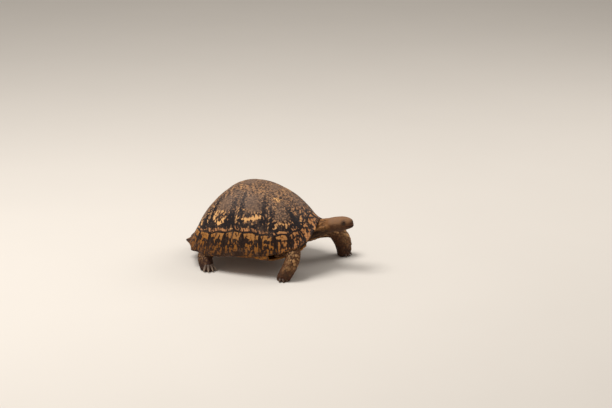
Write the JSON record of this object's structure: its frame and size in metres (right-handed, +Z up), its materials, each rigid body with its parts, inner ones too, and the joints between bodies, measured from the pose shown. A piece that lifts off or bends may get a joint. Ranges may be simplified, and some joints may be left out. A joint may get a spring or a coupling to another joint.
{
  "type": "tortoise",
  "caption": "Walking leopard tortoise with a high domed shell of horn plates, raised head, four clawed legs and a short tail, standing on its flat soles.",
  "frame": {"origin": "on the floor, under the middle of the whole model's box", "axes": "+X is the way the tortoise walks, +Y its left side, +Z up"},
  "size_m": [0.4618, 0.283, 0.223],
  "materials": {
    "shell_horn": "worn dusty horn, tan with blackish blotches",
    "plastron_horn": "smooth dull yellow-brown horn with dark marks",
    "skin": "dry scaly skin, dusty brown",
    "eye": "wet gloss, dark",
    "beak_horn": "smooth dull horn"
  },
  "bodies": {
    "root": {"abdominal_left": "plastron_horn", "abdominal_right": "plastron_horn", "anal_left": "plastron_horn", "anal_right": "plastron_horn", "beak_lower": "beak_horn", "beak_upper": "beak_horn", "costal_left_1": "shell_horn", "costal_left_2": "shell_horn", "costal_left_3": "shell_horn", "costal_left_4": "shell_horn", "costal_right_1": "shell_horn", "costal_right_2": "shell_horn", "costal_right_3": "shell_horn", "costal_right_4": "shell_horn", "eye_left": "eye", "eye_right": "eye", "femoral_left": "plastron_horn", "femoral_right": "plastron_horn", "gular_left": "plastron_horn", "gular_right": "plastron_horn", "head": "skin", "humeral_left": "plastron_horn", "humeral_right": "plastron_horn", "leg_front_left": "skin", "leg_front_right": "skin", "leg_rear_left": "skin", "leg_rear_right": "skin", "marginal_left_1": "shell_horn", "marginal_left_10": "shell_horn", "marginal_left_11": "shell_horn", "marginal_left_2": "shell_horn", "marginal_left_3": "shell_horn", "marginal_left_4": "shell_horn", "marginal_left_5": "shell_horn", "marginal_left_6": "shell_horn", "marginal_left_7": "shell_horn", "marginal_left_8": "shell_horn", "marginal_left_9": "shell_horn", "marginal_right_1": "shell_horn", "marginal_right_10": "shell_horn", "marginal_right_11": "shell_horn", "marginal_right_2": "shell_horn", "marginal_right_3": "shell_horn", "marginal_right_4": "shell_horn", "marginal_right_5": "shell_horn", "marginal_right_6": "shell_horn", "marginal_right_7": "shell_horn", "marginal_right_8": "shell_horn", "marginal_right_9": "shell_horn", "neck": "skin", "pectoral_left": "plastron_horn", "pectoral_right": "plastron_horn", "supracaudal": "shell_horn", "tail": "skin", "trunk": "skin", "vertebral_1": "shell_horn", "vertebral_2": "shell_horn", "vertebral_3": "shell_horn", "vertebral_4": "shell_horn", "vertebral_5": "shell_horn"}
  },
  "joints": []
}
